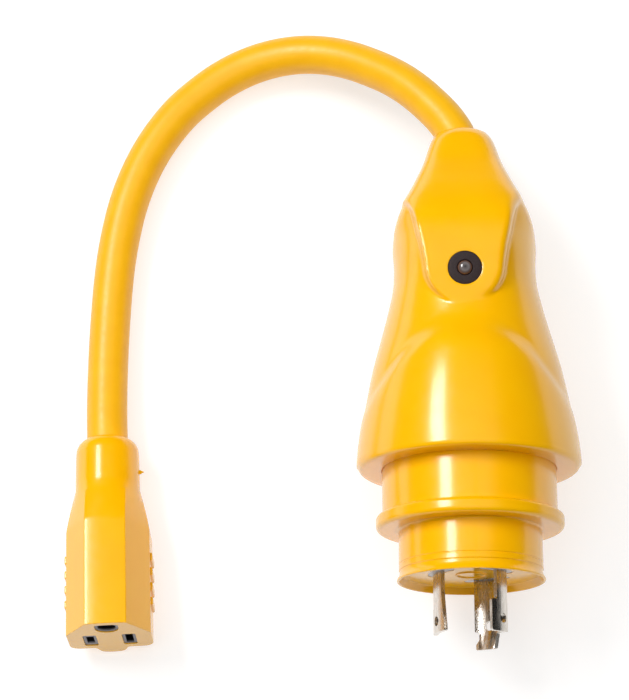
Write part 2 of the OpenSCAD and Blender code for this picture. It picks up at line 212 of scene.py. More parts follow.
def moulded_vinyl():
    """Plasticised PVC out of a polished mould: deep even yellow, wide soft highlights broken by a fine orange peel."""
    made, tree, shader, places = material("moulded_yellow_vinyl")
    blotch = spread(tree, noise(tree, places, 9.0), 0.0, 1.0)
    tree.links.new(mixed(tree, blotch, colour("#ffbd00"), colour("#feb900")), shader.inputs["Base Color"])
    tree.links.new(spread(tree, noise(tree, places, 2.5), 0.20, 0.26), shader.inputs["Roughness"])
    shader.inputs["IOR"].default_value = 1.55
    shader.inputs["Coat Weight"].default_value = 0.3
    shader.inputs["Coat Roughness"].default_value = 0.12
    bumped(tree, shader, noise(tree, places, 0.8, detail=3.0, rough=0.6), 0.0035, 0.7)
    return made


def cord_vinyl():
    """Extruded PVC jacket: a little paler and duller than the mouldings, with a fine dusty grain."""
    made, tree, shader, places = material("extruded_yellow_vinyl")
    blotch = spread(tree, noise(tree, places, 6.0), 0.0, 1.0)
    tree.links.new(mixed(tree, blotch, colour("#fabc10"), colour("#f6b60c")), shader.inputs["Base Color"])
    tree.links.new(spread(tree, noise(tree, places, 1.5), 0.36, 0.46), shader.inputs["Roughness"])
    shader.inputs["IOR"].default_value = 1.53
    bumped(tree, shader, noise(tree, places, 0.6, detail=2.0), 0.008, 0.6)
    return made


# over how many mm the painted shade inside the connector turns near black
PAINTED_SHADE_FADE = 0.6


def moulded_nylon(name, light, dark, rough=0.5, painted_shade_below=None):
    """Moulded plastic: matt, faintly mottled; where a depth is given, painted shade darkens it to near black from that
    far behind the connector's face.
    """
    made, tree, shader, places = material(name)
    blotch = spread(tree, noise(tree, places, 1.2), 0.0, 1.0)
    base = mixed(tree, blotch, colour(light), colour(dark))
    # painted shade: the colour turns near black deeper behind the connector's face, where its slots and holes are in
    # shadow
    if painted_shade_below is not None:
        along = node(tree, "ShaderNodeVectorMath", {0: places, 1: face_out}, operation="DOT_PRODUCT").outputs["Value"]
        start = Vector(slots_mount["pos_m"]).dot(face_out) - painted_shade_below * MM
        depth = node(tree, "ShaderNodeMapRange", {
            "Value": along, "From Min": start, "From Max": start - PAINTED_SHADE_FADE * MM,
        }).outputs["Result"]
        base = mixed(tree, depth, base, colour("#161415"))
    tree.links.new(base, shader.inputs["Base Color"])
    shader.inputs["Roughness"].default_value = rough
    shader.inputs["IOR"].default_value = 1.5
    bumped(tree, shader, noise(tree, places, 0.35), 0.02, 0.6)
    return made


def nickel_plate():
    """Stamped brass with bright nickel plate: mirror-like, faintly rippled and scuffed along the blade."""
    made, tree, shader, places = material("nickel_plated_brass")
    stretched = node(tree, "ShaderNodeMapping", {"Vector": places, "Scale": (1.0, 0.25, 1.0)}).outputs["Vector"]
    scuff = noise(tree, stretched, 0.8, detail=4.0)
    base = mixed(tree, spread(tree, scuff, 0.0, 1.0), colour("#dcd6cf"), colour("#cbc4ba"))
    tree.links.new(base, shader.inputs["Base Color"])
    shader.inputs["Metallic"].default_value = 1.0
    tree.links.new(spread(tree, scuff, 0.20, 0.34), shader.inputs["Roughness"])
    bumped(tree, shader, noise(tree, places, 1.6, detail=2.0), 0.022, 0.6)
    return made


def metal(name, light, dark, rough):
    """Rolled strip or drawn tube, bare: brushed along its length."""
    made, tree, shader, places = material(name)
    stretched = node(tree, "ShaderNodeMapping", {"Vector": places, "Scale": (1.0, 0.2, 1.0)}).outputs["Vector"]
    streak = spread(tree, noise(tree, stretched, 0.5, detail=4.0), 0.0, 1.0)
    tree.links.new(mixed(tree, streak, colour(light), colour(dark)), shader.inputs["Base Color"])
    shader.inputs["Metallic"].default_value = 1.0
    shader.inputs["Roughness"].default_value = rough
    return made


def black_nylon():
    """Black moulded bezel with a spark-eroded finish: brownish black, finely speckled."""
    made, tree, shader, places = material("spark_textured_black_nylon")
    speck = noise(tree, places, 0.28, detail=4.0, rough=0.7)
    base = mixed(tree, spread(tree, speck, 0.0, 1.0), colour("#180f10"), colour("#3a2c2c"))
    tree.links.new(base, shader.inputs["Base Color"])
    shader.inputs["Roughness"].default_value = 0.62
    bumped(tree, shader, speck, 0.08, 0.9)
    return made


def cast_epoxy():
    """The lamp's clear cast epoxy dome: smoky grey over its cup, with an amber rim where the dome meets the bezel."""
    made, tree, shader, places = material("clear_cast_epoxy")
    centre = (PLUG @ IN_LAMP) @ Vector((0, 0, 0))
    from_centre = node(tree, "ShaderNodeVectorMath", {0: places, 1: centre}, operation="SUBTRACT").outputs["Vector"]
    flat = node(tree, "ShaderNodeVectorMath", {0: from_centre, 1: (1, 1, 0)}, operation="MULTIPLY").outputs["Vector"]
    radius = node(tree, "ShaderNodeVectorMath", {0: flat}, operation="LENGTH").outputs["Value"]
    share = node(tree, "ShaderNodeMath", {0: radius, 1: 1 / (LAMP_R * MM)}, operation="MULTIPLY").outputs["Value"]
    rings = ramp(tree, share, [
        (0.0, colour("#3c3839")), (0.22, colour("#605a59")), (0.5, colour("#77706f")), (0.72, colour("#5c4f4a")),
        (0.84, colour("#6e4a38")), (1.0, colour("#3a2824")),
    ])
    tree.links.new(rings.outputs["Color"], shader.inputs["Base Color"])
    shader.inputs["Roughness"].default_value = 0.08
    shader.inputs["IOR"].default_value = 1.54
    shader.inputs["Coat Weight"].default_value = 0.6
    bumped(tree, shader, noise(tree, places, 1.0), 0.02, 0.3)
    return made


YELLOW = moulded_vinyl()
CORD = cord_vinyl()
GREY = moulded_nylon("grey_nylon", "#e6dfdc", "#cfc8c5")
LOOKS = {
    "yellow_vinyl": YELLOW,
    "cord_vinyl": CORD,
    "grey_plastic": GREY,
    # the connector's contact block: a darker grey, with painted shade inside its slots and holes
    "socket_plastic": moulded_nylon("grey_nylon_with_painted_shade", "#8e8b90", "#7c797d", painted_shade_below=0.45),
    "inner_plastic": moulded_nylon("natural_nylon", "#d9d4c8", "#cac4b6"),
    "nickel_plate": nickel_plate(),
    "contact_brass": metal("rolled_brass", "#d2b060", "#b08a3c", 0.32),
    "black_bezel": black_nylon(),
    "clear_lamp": cast_epoxy(),
    "board": moulded_nylon("lacquered_glass_epoxy", "#2f6b3f", "#27593a", 0.35),
    "resistor_body": moulded_nylon("dipped_resistor", "#c9b48a", "#b9a276", 0.4),
    "wire_black": moulded_nylon("black_wire_vinyl", "#262626", "#1d1d1d", 0.4),
    "wire_white": moulded_nylon("white_wire_vinyl", "#f0f0ec", "#e2e2dc", 0.4),
    "wire_green": moulded_nylon("green_wire_vinyl", "#2f8f4a", "#287d40", 0.4),
    "steel_ferrule": metal("crimped_steel", "#b9b9b9", "#9c9c9c", 0.38),
}

# --- making pieces -----------------------------------------------------------------------------------------------


def deselect():
    bpy.ops.object.select_all(action="DESELECT")


def edit(piece):
    deselect()
    piece.select_set(True)
    bpy.context.view_layer.objects.active = piece
    bpy.ops.object.mode_set(mode="EDIT")
    bpy.ops.mesh.select_all(action="SELECT")


def leave():
    bpy.ops.object.mode_set(mode="OBJECT")


def start_ring(name, count, fill="NOTHING"):
    """A ring of points in the z = 0 plane, which the caller moves."""
    deselect()
    bpy.ops.mesh.primitive_circle_add(vertices=count, radius=1, fill_type=fill)
    piece = bpy.context.object
    piece.name = piece.data.name = name
    return piece


def tidy(piece):
    """Merges what spin and the poles left double, and turns the faces outwards."""
    edit(piece)
    bpy.ops.mesh.remove_doubles(threshold=0.0005)
    bpy.ops.mesh.delete_loose()
    bpy.ops.mesh.select_all(action="SELECT")
    bpy.ops.mesh.normals_make_consistent(inside=False)
    leave()


def turned(name, outline, steps=128):
    """A closed outline of (radius, z) points spun once round the z axis."""
    piece = start_ring(name, len(outline))
    for point, (radius, z) in zip(piece.data.vertices, outline):
        point.co = (radius, 0, z)
    edit(piece)
    bpy.ops.mesh.spin(steps=steps, angle=TURN, center=(0, 0, 0), axis=(0, 0, 1))
    leave()
    tidy(piece)
    return piece


def drawn(name, rings):
    """A closed tube extruded one step for each ring, whose points are then moved to that ring's places."""
    count = len(rings[0])
    piece = start_ring(name, count, "NGON")
    edit(piece)
    for _ in rings[1:]:
        bpy.ops.mesh.extrude_region_move(TRANSFORM_OT_translate={"value": (0, 0, 1)})
    leave()
    first = piece.data.vertices[0].co
    start = math.atan2(first.y, first.x)
    for point in piece.data.vertices:
        turn = (math.atan2(point.co.y, point.co.x) - start) / TURN * count
        point.co = rings[round(point.co.z)][round(turn) % count]
    tidy(piece)
    return piece


def slab(name, outline, low, high):
    """A flat outline of (x, y) points extruded from z = low to z = high."""
    return drawn(name, [[(x, y, z) for x, y in outline] for z in (low, high)])


def modified(piece, kind, **settings):
    """Adds a modifier and applies it."""
    made = piece.modifiers.new(kind.lower(), kind)
    for name, value in settings.items():
        setattr(made, name, value)
    deselect()
    bpy.context.view_layer.objects.active = piece
    bpy.ops.object.modifier_apply(modifier=made.name)


def combined(piece, other, how):
    """Cuts other out of a piece, or fuses it to the piece."""
    modified(piece, "BOOLEAN", operation=how, solver="EXACT", object=other)
    bpy.data.meshes.remove(other.data)


def eased(piece, width, angle=30, segments=2):
    """Rounds the edges sharper than an angle."""
    modified(piece, "BEVEL", width=width, segments=segments, limit_method="ANGLE", angle_limit=math.radians(angle))


def box(name, low, high, round_by=0.0, segments=2):
    """A block between two corners, its edges rounded."""
    deselect()
    bpy.ops.mesh.primitive_cube_add(size=1)
    piece = bpy.context.object
    piece.name = piece.data.name = name
    low, high = Vector(low), Vector(high)
    piece.data.transform(Matrix.Translation((low + high) / 2) @ Matrix.Diagonal((*(high - low), 1)))
    if round_by:
        eased(piece, round_by, 30, segments)
    return piece


def settle(piece, place, slot, *nodes, smooth=32, flats=True):
    """Puts a finished piece in place, shades it, and lets it stand for CAD nodes."""
    piece.data.transform(place)
    piece.data.update()
    deselect()
    piece.select_set(True)
    bpy.context.view_layer.objects.active = piece
    bpy.ops.object.shade_smooth_by_angle(angle=math.radians(smooth))
    if flats:  # flat faces stay flat beside their rounded edges
        modified(piece, "WEIGHTED_NORMAL", keep_sharp=True)
    piece.data.materials.clear()
    piece.data.materials.append(LOOKS[slot])
    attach(piece, "root")
    if nodes:
        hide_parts(*nodes)
    return piece


def curve(*points):
    """A smooth function through (place, value) points."""
    place, value = np.array(points, float).T
    slope = np.gradient(value, place)

    def at(x):
        x = np.clip(x, place[0], place[-1])
        i = np.clip(np.searchsorted(place, x) - 1, 0, len(place) - 2)
        h = place[i + 1] - place[i]
        t = (x - place[i]) / h
        return (
            (1 + 2 * t) * (1 - t) ** 2 * value[i] + t * (1 - t) ** 2 * h * slope[i]
            + t**2 * (3 - 2 * t) * value[i + 1] + t**2 * (t - 1) * h * slope[i + 1]
        )

    return at


def joined(a, b, k):
    """Smooth least of two distances, blended over k."""
    h = np.maximum(k - np.abs(a - b), 0) / k
    return np.minimum(a, b) - h * h * k / 4


def common(a, b, k):
    return -joined(-a, -b, k)


# --- cord --------------------------------------------------------------------------------------------------------

CORD_R, CORD_SIDES, CORD_STEP = 6.8, 48, 1.6
CORD_FIRST = 6  # the first step that is drawn; those before it are hidden in the neck
CORD_THINNED, CORD_THIN_STEPS = 0.25, 70  # drawn a little thin where it is pulled round the bend
INTO_COLLAR = 2.5
# The route of the part's source, from inside the plug's neck to the connector's collar
ROUTE = [
    (47.8, 70, 36), (47.5, 78.1, 35.7), (46.3, 86.1, 34.8), (42.7, 93.2, 33.3), (37.7, 100, 31.2),
    (32.1, 106.5, 28.6), (25.4, 112.8, 25.2), (18.1, 118, 21.7), (10.1, 122.6, 18.2), (1.6, 125.8, 15),
    (-7.4, 127.3, 12.2), (-16.9, 126.7, 10), (-25.9, 124.2, 8.4), (-34.4, 119.9, 7.4), (-41.9, 114.3, 6.9),
    (-48.9, 107.6, 6.9), (-54.7, 100, 6.9), (-59.7, 91.6, 6.9), (-63.7, 82.6, 6.9), (-66.8, 73, 6.9),
    (-68.9, 63.2, 6.9), (-70.4, 53.2, 6.9), (-71.3, 43.2, 6.9), (-71.8, 33.2, 7), (-72.1, 23.2, 7.3),
    (-72.2, 13.2, 7.8), (-72.1, 3.2, 8.6), (-71.8, -6, 9.6), (-71.36, -14.02, 10.3),
]


def route_line(points, spacing):
    """The smooth line through the route's points, at even spacing."""
    points = np.array(points, float)
    along = np.concatenate([[0], np.cumsum(np.linalg.norm(np.diff(points, axis=0), axis=1))])
    lines = [curve(*zip(along, points[:, axis])) for axis in range(3)]
    count = int(along[-1] / spacing) + 1
    places = np.linspace(0, along[-1], count)
    return np.stack([line(places) for line in lines], axis=1)


def make_cord():
    line = route_line(ROUTE, CORD_STEP)
    line = np.vstack([line[CORD_FIRST:], Vector(line[-1]) + face_out * INTO_COLLAR])
    heading = np.gradient(line, axis=0)
    heading /= np.linalg.norm(heading, axis=1)[:, None]
    side = np.cross(heading[0], (0, 0, 1))
    rings = []
    for index, (place, ahead) in enumerate(zip(line, heading)):
        radius = CORD_R - CORD_THINNED * max(0, 1 - index / CORD_THIN_STEPS)
        side = side - side @ ahead * ahead
        side /= np.linalg.norm(side)
        up = np.cross(ahead, side)
        turns = TURN * np.arange(CORD_SIDES) / CORD_SIDES
        rings.append([tuple(place + radius * (math.cos(t) * side + math.sin(t) * up)) for t in turns])
    piece = drawn("cord", rings)
    settle(piece, Matrix.Scale(MM, 4), "cord_vinyl", "cable_jacket", smooth=60, flats=False)


make_cord()

# --- plug grip ---------------------------------------------------------------------------------------------------

# Curves against the distance behind the rim, in mm
side_radius = curve(
    (0, 35.6), (3.5, 35.5), (13.5, 34.4), (23.5, 32.7), (33.5, 30.7), (44, 27.9), (54.5, 25.2), (62, 23.7),
    (68, 23.4), (76, 23.7), (82.5, 22.8), (86.5, 21.2), (90, 19.1), (96.7, 15.9), (103.7, 13.1), (110, 11.3),
    (112, 10.7), (113.8, 9.9), (115, 9.1), (115.7, 8.4), (116, 7.8),
)
dome_radius = curve(
    (0, 35.6), (3.5, 35.5), (13.5, 34.7), (23.5, 33.6), (33, 32.3), (40, 31.2), (46, 30), (56, 28),
)
saddle_radius = curve(
    (20, 29.5), (40, 28.2), (47, 26.9), (54, 26.2), (62, 26.5), (68, 27), (76, 26.6), (82, 24.4), (90, 19.4), (116, 8),
)
crest_height = curve(
    (44, 26.1), (48, 26.3), (54, 26.9), (60, 27.4), (70, 28.1), (78, 27.4), (84, 25.4), (90, 22.3), (96.7, 18.3),
    (103.7, 14.4), (110, 11.7), (112, 10.9), (113.8, 10), (115, 9.1), (115.7, 8.4), (116, 7.8),
)
# How far back the dome ends, against the angle from the top in degrees
arch = curve((0, 37), (20, 36.6), (30, 34.5), (42, 31), (52, 26.5), (62, 22.5), (75, 19), (90, 17.5))
tongue_half = curve(
    (55, 12.2), (60, 12.3), (67, 13.2), (75, 14.9), (80, 16), (85, 18), (88, 20.5), (91, 25), (96, 32),
)
panel_fullness = curve(
    (40, 3.0), (50, 4.0), (78, 4.1), (84, 3.7), (90, 4.1), (96, 4.3), (104, 3.9), (112, 2.9), (116, 2.3),
)
waist_fullness = curve(
    (50, 2.0), (68, 2.0), (80, 2.1), (86, 3.0), (91, 4.0), (96, 4.2), (104, 3.9), (112, 2.9), (116, 2.3),
)
shoulder_room = curve((66, 8), (72, 5.5), (78, 2.2), (82, 0.5), (86, 0), (90, 0), (100, 0), (116, 0))

BEND_R, BEND_START, BEND_DEPTH = 55.0, 100.0, 16.2  # of the cord in the neck
BEND_SIDE = math.radians(210)
DOME_FALL, DOME_SOFT = 0.62, 3.0  # slope of the dome's end, and how softly it starts
HOLLOW = 0.06
UNDER_DROP = 1.2  # how much lower the panel is on the underside
TIP_BACK, TIP_HALF_W, TIP_LEN = 62, 12.4, 13.6
EDGE_ROUND, EDGE_ROUND_RIGHT = 0.6, 2.2  # of the tongue's top edge, and what the right adds
WAIST_BLEND, TONGUE_BLEND, NECK_BLEND = 2.6, 0.7, 1.2
LIP_THICK = 0.75  # of the neck where it closes on the cord
DISH_R, DISH_SLOPE, DISH_DEPTH = 6.3, 0.9, 0.22


def cord_shift(back):
    """How far the cord's middle has moved off the plug's axis at a distance behind the rim, in the plug's axes."""
    depth = np.clip(back - BEND_START, 0, BEND_DEPTH)
    shift = BEND_R - np.sqrt(BEND_R**2 - depth**2)
    angle = BEND_SIDE - ROLL
    return shift * math.cos(angle), shift * math.sin(angle)


def oval(turn, half_w, half_h, fullness):
    """Radius of a superellipse at an angle from its top."""
    return (np.abs(np.sin(turn) / half_w) ** fullness + np.abs(np.cos(turn) / half_h) ** fullness) ** (-1 / fullness)


def grip_distance(radius, turn, back):
    """Below zero inside the grip. turn is measured from the top, back from the rim."""
    x, y = radius * np.sin(turn), np.abs(radius * np.cos(turn))
    under = np.cos(turn) < 0
    slant = np.degrees(np.abs(np.arctan2(x, y)))
    side = side_radius(back)
    roundness = np.cos(np.radians(slant)) ** 2
    # the skirt's dome, which ends along an arch
    dome = radius - (side + (dome_radius(back) - side) * roundness)
    past = back - arch(slant)
    dome = dome + DOME_FALL * 0.5 * (past + np.sqrt(past**2 + DOME_SOFT**2))
    # the waist that the hand holds, a little hollow between the tongue and the sides
    along = np.clip((back - 46) / 14, 0, 1) * np.clip((88 - back) / 8, 0, 1)
    hollow = HOLLOW * np.sin(np.radians(2 * slant)) ** 2 * along
    waist = radius + hollow - oval(turn, side, saddle_radius(back), waist_fullness(back))
    # the flat-topped panel with its tongue
    high = crest_height(back) - np.where(under, UNDER_DROP, 0)
    reach = oval(turn, side + shoulder_room(back), high, panel_fullness(back))
    panel = radius - reach
    lean = tongue_half(back + 0.5) - tongue_half(back - 0.5)
    beside = (np.abs(x) - tongue_half(back)) / np.sqrt(1 + lean**2)
    tip = TIP_HALF_W * (np.hypot(x / TIP_HALF_W, (back - TIP_BACK) / TIP_LEN) - 1)
    edge = np.where(back < TIP_BACK, tip, beside)
    # its wall leans out, and the wall's top edge is rounded more on the right
    edge = edge - 0.12 * np.clip(reach - radius, 0, 6)
    tongue = common(panel, edge, EDGE_ROUND + EDGE_ROUND_RIGHT * np.clip(x / 6 + 0.5, 0, 1))
    body = joined(joined(dome, waist, WAIST_BLEND), tongue, TONGUE_BLEND)
    # the neck closes round the cord
    shift_x, shift_y = cord_shift(back)
    lip = np.hypot(x - shift_x, radius * np.cos(turn) - shift_y) - (CORD_R + LIP_THICK)
    body = joined(body, lip + 2.0 * np.clip(110 - back, 0, 9), NECK_BLEND)
    # a shallow dish round the lamp
    lamp = np.hypot(x, back - LAMP_BACK)
    dish = np.where(under, 0, DISH_DEPTH * np.clip((DISH_R - lamp) / DISH_SLOPE, 0, 1) ** 2)
    return body + dish


GRIP_STEPS = 300
TO_FIND = 40.0  # stands in an outline for a radius that is still to be found
BORE_R, BORE_BACK = 7.2, 99  # the points inside these follow the cord's bend


def make_grip():
    backs = np.concatenate([
        np.arange(1.8, 22, 1.7), np.arange(22.5, 44, 0.8), np.arange(44.2, 93, 0.5), np.arange(93.5, 110, 1.3),
        np.arange(110.4, 115.9, 0.5), [115.95],
    ])
    outline = [(28.05, -4.5), (28.05, -0.25), (28.3, 0), (31, 0), (34.2, 0), (34.8, -0.12), (35.25, -0.45)]
    outline += [(35.5, -0.95), *((TO_FIND, -back) for back in backs)]
    outline += [(6.95, -115.9), (6.72, -115.2), (6.72, -112), (6.72, -108), (6.72, -104), (6.75, -100), (6.8, -86)]
    outline += [(12, -86), (18.7, -76), (18.7, -66), (20.7, -54.5), (26.2, -33.5), (30.1, -13.5), (30.9, -4.5)]
    piece = turned("bell_grip_skin", outline, GRIP_STEPS)
    places = np.array([point.co for point in piece.data.vertices])
    turn = np.arctan2(places[:, 0], places[:, 1])
    turn = turn - 0.45 * np.sin(turn)  # crowds the columns on top, where the tongue is
    radius, back = np.hypot(places[:, 0], places[:, 1]), -places[:, 2]
    outer = radius > TO_FIND - 1
    low, high = np.full(outer.sum(), 3.0), np.full(outer.sum(), 37.5)
    for _ in range(34):  # halvings, each nearer the surface
        middle = (low + high) / 2
        inside = grip_distance(middle, turn[outer], back[outer]) < 0
        low, high = np.where(inside, middle, low), np.where(inside, high, middle)
    radius[outer] = low
    shift_x, shift_y = cord_shift(back)
    bore = (radius < BORE_R) & (back > BORE_BACK)
    places[:, 0] = radius * np.sin(turn) + np.where(bore, shift_x, 0)
    places[:, 1] = radius * np.cos(turn) + np.where(bore, shift_y, 0)
    for point, place in zip(piece.data.vertices, places):
        point.co = place
    tidy(piece)
    pocket = turned("pocket", [(0, -12), (4.2, -12), (4.2, -2.3), (5.5, -2.3), (5.5, 7), (0, 7)], 96)
    pocket.data.transform(IN_LAMP)
    combined(piece, pocket, "DIFFERENCE")
    return settle(piece, PLUG, "yellow_vinyl", "bell_grip", smooth=38, flats=False)


make_grip()

# --- lamp --------------------------------------------------------------------------------------------------------


def arc(centre, radius, start, stop, count):
    """Points on an arc, angles in degrees."""
    turns = np.radians(np.linspace(start, stop, count))
    return [(centre[0] + radius * math.cos(t), centre[1] + radius * math.sin(t)) for t in turns]


def make_bezel():
    outline = [(2.46, -3.2), (4.15, -3.2), (4.15, -2.2), (5.4, -2.2)]
    outline += arc((5.1, -0.55), 0.3, 0, 80, 5)
    outline += [(4.2, -0.2), (3.4, -0.17)]
    outline += arc((2.76, -0.42), 0.3, 80, 180, 5)
    piece = turned("indicator_bezel_ring", outline, 96)
    return settle(piece, PLUG @ IN_LAMP, "black_bezel", "indicator_bezel")


def make_lamp():
    outline = [(0, -10.8), (2.38, -10.8), (2.38, -0.55)]
    outline += [(2.38 * math.cos(t), -0.55 + 1.5 * math.sin(t)) for t in np.radians(np.linspace(8, 90, 14))]
    outline[-1] = (0, outline[-1][1])
    piece = turned("indicator_lamp_dome", outline, 64)
    return settle(piece, PLUG @ IN_LAMP, "clear_lamp", "indicator_lamp", smooth=50)


make_bezel()
make_lamp()

# --- plug nose and blades ----------------------------------------------------------------------------------------

BLADE_R, BLADE_T = 11.5, 1.5
WINDOWS = [(42, 48), (158, 56), (-60, 60)]  # middle and span, degrees
WINDOW_HALF = 2.25


def arc_block(name, middle, span, r_in, r_out, low, high):
    """A piece of a ring about the z axis, its ends rounded."""
    count = 18
    half, thick = math.radians(span) / 2, (r_out - r_in) / 2
    mid = (r_in + r_out) / 2
    outline = [(r_out, t) for t in np.linspace(-half, half, count)]
    ends = [(mid + thick * math.cos(a), half + thick / mid * math.sin(a)) for a in np.linspace(0.3, math.pi - 0.3, 8)]
    outline += ends + [(r_in, t) for t in np.linspace(half, -half, count)]
    outline += [(r, -t) for r, t in reversed(ends)]
    turn = math.radians(middle)
    return slab(name, [(r * math.cos(t + turn), r * math.sin(t + turn)) for r, t in outline], low, high)


def make_nose():
    outline = [(19.5, -24), (28, -24), (28, 14.4)]
    outline += arc((28.5, 14.5), 0.5, 180, 90, 4)
    outline += arc((28.95, 16.15), 1.15, -90, 0, 7)
    outline += arc((28.5, 18.0), 1.6, 0, 90, 8)
    outline += [(23.6, 19.6), (23.2, 19.7), (22.95, 20.05), (22.9, 20.5), (22.9, 30.3)]
    outline += [(22.74, 30.5), (22.74, 30.75), (22.9, 30.95)]
    outline += [(22.9, 31.9), (22.96, 32.1), (22.96, 32.4), (22.72, 32.7), (22.7, 33.3), (22.8, 34), (23.1, 34.7)]
    outline += [(23.5, 35.25), (23.6, 35.6), (23.5, 35.9), (23.2, 36.0), (22.85, 35.9)]
    outline += [(22.3, 34.9), (21.9, 34.1), (21.6, 33.78), (21.2, 33.7)]
    outline += [(5.05, 33.7), (4.95, 34.0), (4.75, 34.08), (4.5, 34.0), (4.4, 33.7), (0, 33.7), (0, 29.7), (19.5, 29.7)]
    piece = turned("plug_nose_shell", outline, 192)
    for index, (middle, span) in enumerate(WINDOWS):
        window = arc_block(f"window_{index}", middle, span, BLADE_R - WINDOW_HALF, BLADE_R + WINDOW_HALF, 25, 40)
        combined(piece, window, "DIFFERENCE")
    return settle(piece, PLUG, "yellow_vinyl", "plug_nose")


def make_carrier():
    piece = turned("blade_carrier_block", [(0, 4), (19.4, 4), (19.4, 29.6), (0, 29.6)], 96)
    for index, (middle, span) in enumerate(WINDOWS):
        half = WINDOW_HALF - 0.05
        pad = arc_block(f"pad_{index}", middle, span - 0.4, BLADE_R - half, BLADE_R + half, 20, 33.55)
        combined(piece, pad, "UNION")
    eased(piece, 0.25, 40)
    return settle(piece, PLUG, "grey_plastic", "blade_carrier")


def rounded(corners, radius, count=5):
    """A closed outline with each corner rounded; a corner may bring its own radius as its third number."""
    points = []
    for index, corner in enumerate(corners):
        here = Vector(corner[:2])
        size = corner[2] if len(corner) > 2 else radius
        before = (Vector(corners[index - 1][:2]) - here).normalized()
        after = (Vector(corners[(index + 1) % len(corners)][:2]) - here).normalized()
        half = before.angle(after) / 2
        if size <= 0 or abs(half - math.pi / 2) < 0.02:
            points.append(tuple(here))
            continue
        reach = size / math.tan(half)
        start, stop = here + before * reach, here + after * reach
        for t in np.linspace(0, 1, count):
            points.append(tuple((1 - t) ** 2 * start + 2 * t * (1 - t) * here + t * t * stop))
    return points


def blade(name, node_name, middle, outline, holes, tip_lip=None):
    """A stamped blade: a flat blank of (arc length, z) points, punched, then rolled round the blade circle."""
    piece = slab(name, outline, -BLADE_T / 2, BLADE_T / 2)
    for x, y, r in holes:
        punch = slab("punch", arc((x, y), r, 0, 360, 25)[:-1], -2, 2)
        combined(piece, punch, "DIFFERENCE")
    for x in np.arange(-9.0, 9.5, 0.9):  # creases that the rolling bends
        edit(piece)
        bpy.ops.mesh.bisect(plane_co=(x, 0, 0), plane_no=(1, 0, 0))
        leave()
    eased(piece, 0.22, 50)
    for point in piece.data.vertices:
        x, z, out = point.co
        turn = math.radians(middle) + x / BLADE_R
        radius = BLADE_R + out
        if tip_lip:
            radius -= tip_lip(z)
        point.co = (radius * math.cos(turn), radius * math.sin(turn), z)
    tidy(piece)
    return settle(piece, PLUG, "nickel_plate", node_name, smooth=35)


def make_blades():
    foot = 4.0
    hot, neutral, ground = (math.radians(a) * BLADE_R / 2 for a in (24, 30, 49))  # half widths
    hook, catch = math.radians(9.5) * BLADE_R, math.radians(11) * BLADE_R
    blade("hot_blade_strip", "hot_blade", 38, rounded([
        (-hot, foot), (hot, foot), (hot, 43, 0.5), (hot + hook, 43, 0.5), (hot + hook, 53, 0.7), (-hot - 0.2, 53, 0.7),
    ], 0.3), [(-0.1, 48.8, 1.5)])
    blade("neutral_blade_strip", "neutral_blade", 156, rounded([
        (-neutral, foot), (neutral, foot), (neutral, 45, 0.5), (neutral + catch, 45, 0.5), (neutral + catch, 53, 0.7),
        (-neutral - 1.2, 52.6, 0.6), (-neutral, 41),
    ], 0.3), [(0.2, 49.2, 1.5)])
    near = [(ground, 50.8, 0.3), (ground - 1.6, 51.0, 0.5), (ground - 1.7, 56.2, 0.4)]
    far = [
        (-ground + 0.5, 56.2, 0.4), (-ground + 0.3, 54.4, 0.6), (-ground + 1.5, 52.9, 1.2),
        (-ground + 1.5, 50.5, 0.5), (-ground, 50.2, 0.3),
    ]
    blade("ground_blade_strip", "ground_blade", -61, rounded(
        [(-ground, foot), (ground, foot), *near, *far], 0.3,
    ), [(0.2, 48.5, 1.55)], tip_lip=lambda z: 1.5 * np.clip((z - 54.0) / 2.2, 0, 1) ** 2)


make_nose()
make_carrier()
make_blades()

# --- connector ---------------------------------------------------------------------------------------------------

HALF_W, RIDGE_Y, KNEE_Y, FLOOR_Y = 13.7, 17.8, 6.2, -8.4
RIDGE_HALF, RIDGE_CROWN = 6.6, 0.5
PITCH, GROUND_UP = 12.7, 11.9
COLLAR_MID, COLLAR_R = 5.0, 10.65
PRISM, TAPER_END = 35.0, 49.5  # how far back the straight part and the taper reach
KEEL, KEEL_LEN = 4.9, 44
CORNER_R = 3.4
RIBS, RIB_PITCH = 4, 5.05
BODY_WALL = 2.2


def face_half(keel):
    """Right half of the face outline from the top down, each point with its angle on the round collar."""
    half = [
        (RIDGE_HALF * t, RIDGE_Y + RIDGE_CROWN * (0.5 - t * t), 90 - 38.5 * t)
        for t in (0, 0.2, 0.4, 0.6, 0.8, 1)
    ]
    edge = half[-1][1]
    for t in (0.33, 0.67, 1):
        half.append((RIDGE_HALF + (HALF_W - RIDGE_HALF) * t, edge + (KNEE_Y - edge) * t, 51.5 - 45.5 * t))
    half += [(HALF_W, 1.0, -8), (HALF_W, -5.0, -22)]
    corner = arc((HALF_W - CORNER_R, FLOOR_Y + CORNER_R), CORNER_R, -15, -90, 6)
    half += [(x, y, -27 - 6 * i) for i, (x, y) in enumerate(corner)]
    bump = [
        (5.9, 0), (5.4, 0.06), (5.0, 0.2), (4.7, 0.4), (4.3, 0.62), (3.6, 0.82), (2.6, 0.94), (1.3, 0.99), (0, 1),
    ]
    half += [(x, FLOOR_Y - keel * share, -62 - 3.5 * i) for i, (x, share) in enumerate(bump)]
    return half


def face_ring(z, keel=0.0, share=0.0, inset=0.0):
    """A ring of the connector's outline at z; share 0 is the face's outline and 1 the collar's circle."""
    half = face_half(keel)
    ring = []
    for x, y, angle in half + [(-x, y, 180 - angle) for x, y, angle in reversed(half[1:-1])]:
        t = math.radians(angle)
        round_x, round_y = COLLAR_R * math.cos(t), COLLAR_MID + COLLAR_R * math.sin(t)
        px, py = x + (round_x - x) * share, y + (round_y - y) * share
        ring.append((px * (1 - inset / HALF_W), COLLAR_MID + (py - COLLAR_MID) * (1 - inset / 13), z))
    return ring


